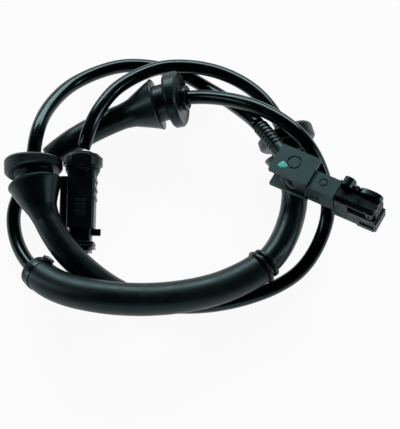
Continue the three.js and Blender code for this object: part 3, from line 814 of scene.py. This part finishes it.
def head_neck():
    """Neck from the plates to the nose, with its web, ridge, end flange, tang and two pads on its side."""
    ridge = HEAD_FRONT - HEAD_RIDGE
    flange = rounded_box(NECK_END - NECK_FLANGE, NECK_END, ridge, NECK_BACK + HEAD_RIDGE, 0.25)
    parts = [
        block(NECK_START - 5, NECK_START + 1, HEAD_FRONT + 0.8, NECK_BACK - 0.8,
              HEAD_BOTTOM + 0.1, -PLATE_THICKNESS - 0.4),
        prism(rounded_box(NECK_START, NECK_END, HEAD_FRONT, NECK_BACK, 0.5), HEAD_BOTTOM, -NECK_DROP),
        block(NECK_START + 0.2, NECK_START + 0.8, ridge, HEAD_FRONT + 1, HEAD_BOTTOM, -NECK_DROP - 0.2),
        prism(flange, HEAD_BOTTOM - NECK_FLANGE_DROP, -NECK_DROP + 0.2),
        tang_block(NECK_END - 0.5, 0),
    ]
    for step in NECK_PADS:
        x = NECK_START + step
        parts.append(block(x, x + 1, ridge, HEAD_FRONT + 1, HEAD_BOTTOM + 1.6, HEAD_BOTTOM + 3.4))
    return parts


def tang_block(start, gap):
    """Tang that holds the nose on the neck, or its pocket where there is a gap."""
    length, width, height = TANG
    return block(start, NECK_END + length + gap, TANG_FRONT - gap, TANG_FRONT + width + gap,
                 TANG_TOP - height - gap, TANG_TOP + gap)


def sensor_head():
    middle = (NECK_START + NECK_END) / 2
    cuts = [
        lower_slot(),
        relief_room(),
        ring_cut(HEAD_RING, *HEAD_RING_PLACE, -HEAD_RING_DEPTH, 1),
        ring_cut(NECK_RING, middle, HEAD_FRONT + NECK_WIDTH / 2 + 0.4, -NECK_DROP - NECK_RING_DEPTH, 0),
    ]
    obj = solid("sensor_head_moulding", head_plates() + head_neck(), cuts, 0.13)
    return dressed(obj, "head_plastic", "sensor_head", space=HEAD_SPACE)


def nose_profile():
    shoulder, step = NOSE_TIP - NOSE_STEP, NOSE_FOOT + NOSE_STEP
    return [
        (NOSE_START, NOSE_TOP), (shoulder - NOSE_STEP, NOSE_TOP), (shoulder, NOSE_TOP - 1.6),
        (shoulder, NOSE_TOP - 5.4), (NOSE_TIP, NOSE_TOP - 5.4), (NOSE_TIP, NOSE_FOOT + 1.4),
        (NOSE_TIP - 1.2, NOSE_FOOT), (NOSE_TIP - 7.5, NOSE_FOOT), (NOSE_TIP - 7.5, step), (NOSE_START, step),
    ]


def clip_peg(radius):
    """Peg under the clip, or its hole in the nose."""
    return post(radius, CLIP_BASE - 2.6 - (radius - PEG_RADIUS), CLIP_BASE + 0.5, *PEG_PLACE, 32)


def sensor_nose():
    window = NOSE_TIP - WINDOW_FROM_TIP
    channel_back = HEAD_FRONT + CHANNEL_DEPTH
    cuts = [
        block(NOSE_START + CHANNEL_START, NOSE_TIP + 1, HEAD_FRONT - 1, channel_back,
              NOSE_TOP - CHANNEL_HEIGHT, NOSE_TOP - 0.7),
        block(window, window + WINDOW_LENGTH, HEAD_FRONT - 1, HEAD_FRONT + WINDOW_DEPTH,
              NOSE_FOOT + 1.8, NOSE_FOOT + 4.6),
        prism(circle(PIN_RADIUS + SEAT_GAP, *PIN_PLACE, 48), HEAD_FRONT, PIN_BACK + SEAT_GAP, "y"),
        tang_block(NECK_END, SEAT_GAP),
        clip_peg(PEG_RADIUS + SEAT_GAP),
    ]
    obj = solid("sensor_nose_moulding", [prism(nose_profile(), HEAD_FRONT, NECK_BACK, "y")], cuts, 0.16)
    return dressed(obj, "nose_plastic", "sensor_nose", space=HEAD_SPACE)


def locating_pin():
    pin = prism(circle(PIN_RADIUS, *PIN_PLACE, 48), PIN_BACK - PIN_LENGTH, PIN_BACK, "y")
    dimple = prism(circle(PIN_DIMPLE, *PIN_PLACE, 32), PIN_BACK - 4, PIN_BACK - 2.8, "y")
    obj = solid("locating_pin_round", [pin], [dimple], 0.18)
    return dressed(obj, "gloss_plastic", "locating_pin", space=HEAD_SPACE)


def hook_profile():
    """Tall rounded hook at the clip's start, as distances along the clip and heights above its base."""
    outline = [(0.3, 0), (0.3, 2.8), (0.5, 3.4), (1, 3.9), (1.8, 4.05), (2.8, 4.0),
               (3.6, 3.7), (4.2, 3.0), (4.5, 2.1), (4.6, 0)]
    return [(NOSE_START + x, CLIP_BASE + z) for x, z in outline]


def rail_profile():
    """Rail along the clip's back, with a low tooth and then a long hump."""
    outline = [(0.3, 0), (0.3, 1.4), (5.1, 1.4), (5.2, 2.1), (5.5, 2.4), (6.1, 2.4), (6.5, 2.1), (6.7, 1.5)]
    for i in range(17):
        angle = math.pi * (1 - i / 16)
        outline.append((11 + 4.1 * math.cos(angle), 1.3 + 1.9 * math.sin(angle) ** 0.7))
    outline.append((CLIP_LENGTH, 0))
    return [(NOSE_START + x, CLIP_BASE + z) for x, z in outline]


def retaining_clip():
    width, height = CLIP_BAR
    front, start = HEAD_FRONT + 1.2, NOSE_START + 0.1
    end = start + CLIP_LENGTH
    round_end = [(end - width / 2 + width / 2 * math.sin(math.pi * i / 16),
                  front + width / 2 * (1 - math.cos(math.pi * i / 16))) for i in range(17)]
    rail = NECK_BACK - CLIP_RAIL
    adds = [
        prism([(start, front + width), (start, front), *round_end], CLIP_BASE, CLIP_BASE + height),
        block(start, end - 0.4, front + 0.2, NECK_BACK, CLIP_BASE, CLIP_BASE + 1),
        prism(rail_profile(), rail, NECK_BACK, "y"),
        prism(hook_profile(), rail - 0.3, NECK_BACK + CLIP_HOOK_BACK, "y"),
        clip_peg(PEG_RADIUS),
    ]
    obj = solid("retaining_clip_moulding", adds, (), 0.18)
    return dressed(obj, "gloss_plastic", "retaining_clip", space=HEAD_SPACE)


def dab_ring(share):
    """Ring of points at a share of the dab's uneven outline, lower towards the edge."""
    middle_x, middle_y = DAB_PLACE
    ring = []
    for j in range(DAB_SIDES):
        a = 2 * math.pi * j / DAB_SIDES
        reach = DAB_RADIUS + 0.14 * math.sin(2 * a + 0.6) + 0.2 * math.sin(3 * a + 2) + 0.12 * math.sin(7 * a)
        swell = 0.02 * math.sin(5 * a + 4 * share) * (1 - share)
        height = DAB_THICKNESS * math.sqrt(max(0, 1 - share ** 4)) + swell
        x = middle_x + reach * share * math.cos(a)
        ring.append((x, middle_y + 0.92 * reach * share * math.sin(a), height))
    return ring


def paint_dab():
    """Thin uneven dab of paint: rings from its middle outwards and a foot just under the plate's face."""
    rings = [dab_ring(k / DAB_RINGS) for k in range(1, DAB_RINGS + 1)]
    rings.append([(x, y, -DAB_FOOT) for x, y, _ in rings[-1]])
    points = [p for ring in rings for p in ring] + [(*DAB_PLACE, DAB_THICKNESS)]
    middle = len(points) - 1
    foot = DAB_RINGS * DAB_SIDES
    faces = [tuple(range(foot, foot + DAB_SIDES))]
    for j in range(DAB_SIDES):
        k = (j + 1) % DAB_SIDES
        faces.append((middle, j, k))
        faces += [(i + j, i + DAB_SIDES + j, i + DAB_SIDES + k, i + k) for i in range(0, foot, DAB_SIDES)]
    obj = cleaned(mesh_object("paint_dab", points, faces))
    obj.data.transform(HEAD_SPACE)
    obj.data.materials.append(PAINT)
    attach(obj, "root")


# Connector, in its own space

def connector_cap():
    seat = SEAL_RADIUS + SEAT_GAP
    profile = [
        (0, seat), (0, CAP_RADIUS - 1.5), (1.4, CAP_RADIUS), (CAP_THICKNESS - 1.2, CAP_RADIUS),
        (CAP_THICKNESS - 1, CAP_RADIUS - 0.7), (CAP_THICKNESS, CAP_RADIUS - 0.9), (CAP_THICKNESS, seat),
        (0, seat),
    ]
    flat = block(-1, CAP_THICKNESS + 1, -9, 9, CAP_FLAT, CAP_RADIUS + 1)
    obj = solid("connector_cap_moulding", [lathed("cap", profile, 96)], [flat], 0.12)
    return dressed(obj, "connector_plastic", "connector_cap", space=CONNECTOR_SPACE)


def cable_seal():
    low = SEAL_RADIUS - SEAL_LIP_HEIGHT
    profile = [(-0.9, 0), (-0.9, low)]
    for i in range(SEAL_LIPS):
        s = 0.6 + i * SEAL_LIP_PITCH
        profile += [(s, low), (s + 0.4, SEAL_RADIUS), (s + 0.8, low)]
    profile += [(CAP_THICKNESS, low), (CAP_THICKNESS, 0)]
    obj = lathed("cable_seal_lips", softened(profile, 0.15), 64)
    return dressed(obj, "moulded_rubber", "cable_seal", space=CONNECTOR_SPACE)


def lock_block(gap):
    start, end = LOCK_ENDS
    y, top = LOCK_HALF_WIDTH + gap, BODY[1] / 2
    return block(start - gap, end + gap, -y, y, top - LOCK_DEPTH - gap, top + gap)


def terminal_block(side, gap):
    front = CONNECTOR_LENGTH - TERMINAL_FROM_FACE
    half_width, half_height = (half + gap for half in TERMINAL_HALF_SIZES)
    y = side * TERMINAL_ASIDE
    return block(front - TERMINAL_LENGTH - gap, front + gap, y - half_width, y + half_width,
                 -half_height, half_height)


def connector_housing():
    width, height = BODY
    flank = rounded_box(-width / 2 - BODY_FLANK, 0, -height / 2 + 0.4, BODY_FLANK_TOP, 1.4)
    shoulder = [(SHOULDER_START, 0), (SHOULDER_START, 6.4), (SHOULDER_END, 5.2), (SHOULDER_END + 0.5, 0)]
    adds = [
        bar(SHOULDER_START + 0.8, BODY_END, width, height, BODY_CORNER),
        prism(flank, SHOULDER_END, BODY_END - 1, "x"),
        lathed("shoulder", shoulder, 72),
        bar(BODY_END - 2, CONNECTOR_LENGTH, *SPOUT, 1.2),
        block(BODY_END - 0.2, BODY_END + 2.2, 0, SPOUT[0] / 2 + 3.2, -0.8, 0.8),
    ]
    for i in range(BODY_RIBS):
        s = SHOULDER_END + 1.2 + i * BODY_RIB_PITCH
        adds.append(bar(s, s + 1, width + 0.8, height - 2, BODY_CORNER))
    cuts = [
        bar(CONNECTOR_LENGTH - 7.2, CONNECTOR_LENGTH + 1, SPOUT[0] - 2, SPOUT[1] - 2, 0.7),
        lock_block(SEAT_GAP), terminal_block(-1, SEAT_GAP), terminal_block(1, SEAT_GAP),
    ]
    obj = solid("connector_housing_moulding", adds, cuts, 0.16)
    return dressed(obj, "connector_plastic", "connector_housing", space=CONNECTOR_SPACE)


def front_seal():
    """Ring with two lips, round the spout."""
    start = CONNECTOR_LENGTH - FRONT_SEAL_FROM_FACE
    end = start + FRONT_SEAL_LENGTH
    width, height = SPOUT
    adds = [bar(s, s + FRONT_SEAL_LIP, width + 2.4, height + 2.4, 1.6) for s in (start, end - FRONT_SEAL_LIP)]
    adds.append(bar(start + 0.3, end - 0.3, width + 1.9, height + 1.9, 1.5))
    bore = bar(start - 1, end + 1, width + 0.6, height + 0.6, 1.3)
    obj = solid("front_seal_ring", adds, [bore], 0.1)
    return dressed(obj, "moulded_rubber", "front_seal", space=CONNECTOR_SPACE)


def terminal_lock():
    top = BODY[1] / 2
    grooves = [block(x, x + 0.3, -3, 3, top - 0.12, top + 1) for x in LOCK_LINES]
    obj = solid("terminal_lock_tab", [lock_block(0)], grooves, 0.05)
    return dressed(obj, "lock_plastic", "terminal_lock", space=CONNECTOR_SPACE)


def terminal(node, side):
    obj = solid(node + "_blade", [terminal_block(side, 0)], (), 0.12)
    return dressed(obj, "terminal_metal", node, space=CONNECTOR_SPACE)


# Floor, light and camera

def seen_or_mirrored(tree):
    """1 for rays from the camera and for those that a reflection or a clear surface sends on, else 0."""
    path = tree.nodes.new("ShaderNodeLightPath")
    seen = worked_out(tree, "MAXIMUM", path.outputs["Is Camera Ray"], path.outputs["Is Glossy Ray"])
    return worked_out(tree, "MAXIMUM", seen, path.outputs["Is Transmission Ray"])


def floor():
    size = FLOOR_HALF
    obj = mesh_object("floor", [(-size, -size, 0), (size, -size, 0), (size, size, 0), (-size, size, 0)],
                      [(0, 1, 2, 3)])
    material, tree, shader = shader_of("floor")
    shader.inputs["Base Color"].default_value = FLOOR_COLOUR
    shader.inputs["Roughness"].default_value = 0.9
    shader.inputs["Specular IOR Level"].default_value = 0
    glow = tree.nodes.new("ShaderNodeEmission")
    glow.inputs["Strength"].default_value = 1
    share = worked_out(tree, "MULTIPLY", seen_or_mirrored(tree), FLOOR_GLOW_SHARE)
    mix = tree.nodes.new("ShaderNodeMixShader")
    tree.links.new(share, mix.inputs["Fac"])
    tree.links.new(shader.outputs["BSDF"], mix.inputs[1])
    tree.links.new(glow.outputs["Emission"], mix.inputs[2])
    tree.links.new(mix.outputs["Shader"], tree.nodes["Material Output"].inputs["Surface"])
    obj.data.materials.append(material)


def world():
    """Dim sky, brighter near the horizon, and white where the camera looks past the floor."""
    sky = bpy.data.worlds.new("studio")
    sky.use_nodes = True
    tree = sky.node_tree
    background = tree.nodes["Background"]
    background.inputs["Color"].default_value = SKY_COLOUR
    parts = tree.nodes.new("ShaderNodeSeparateXYZ")
    tree.links.new(tree.nodes.new("ShaderNodeTexCoord").outputs["Generated"], parts.inputs["Vector"])
    strength = spread(tree, parts.outputs["Z"], *SKY_HEIGHTS, *SKY_STRENGTHS)
    tree.links.new(strength, background.inputs["Strength"])
    white = tree.nodes.new("ShaderNodeBackground")
    white.inputs["Color"].default_value = (1, 1, 1, 1)
    path = tree.nodes.new("ShaderNodeLightPath")
    mix = tree.nodes.new("ShaderNodeMixShader")
    tree.links.new(path.outputs["Is Camera Ray"], mix.inputs["Fac"])
    tree.links.new(background.outputs["Background"], mix.inputs[1])
    tree.links.new(white.outputs["Background"], mix.inputs[2])
    tree.links.new(mix.outputs["Shader"], tree.nodes["World Output"].inputs["Surface"])
    bpy.context.scene.world = sky


def lamp(name, place, size, power):
    """Flat lamp that faces the middle of the footprint."""
    light = bpy.data.lights.new(name, "AREA")
    light.shape = "RECTANGLE"
    light.size, light.size_y = size
    light.energy = power
    light.color = LAMP_COLOUR
    obj = bpy.data.objects.new(name, light)
    obj.location = place
    obj.rotation_euler = (-Vector(place)).to_track_quat("-Z", "Y").to_euler()
    bpy.context.scene.collection.objects.link(obj)


def camera():
    data = bpy.data.cameras.new("camera")
    data.sensor_width = SENSOR
    data.lens = LENS_PIXELS * SENSOR / max(PICTURE)
    data.clip_start = 0.01
    obj = bpy.data.objects.new("camera", data)
    down = math.radians(CAMERA_DOWN)
    place = CAMERA_DISTANCE * Vector((0, -math.cos(down), math.sin(down)))
    obj.location = (place - Vector(FOOTPRINT_MIDDLE)) * MM
    obj.rotation_euler = (math.radians(90 - CAMERA_DOWN), 0, 0)
    bpy.context.scene.collection.objects.link(obj)
    bpy.context.scene.camera = obj


camera()
tube, tube_path, tube_length = cable()
strain_relief()
grommet("front_grommet", FRONT_GROMMET, 1, lines=COLLAR_LINES)
grommet("rear_grommet", REAR_GROMMET, 1, tail_end=REAR_TAIL_END)
grommet("side_grommet", SIDE_GROMMET, -1, beaded=True)
cable_collar()
protective_sleeve()
sleeve_tie()
sensor_head()
sensor_nose()
locating_pin()
retaining_clip()
paint_dab()
on_cable = [connector_housing(), connector_cap(), cable_seal(), terminal_lock(),
            terminal("terminal_a", -1), terminal("terminal_b", 1), front_seal()]

floor()
world()
for lamp_name, lamp_values in LAMPS.items():
    lamp(lamp_name, *lamp_values)
bpy.context.scene.view_settings.view_transform = "Standard"
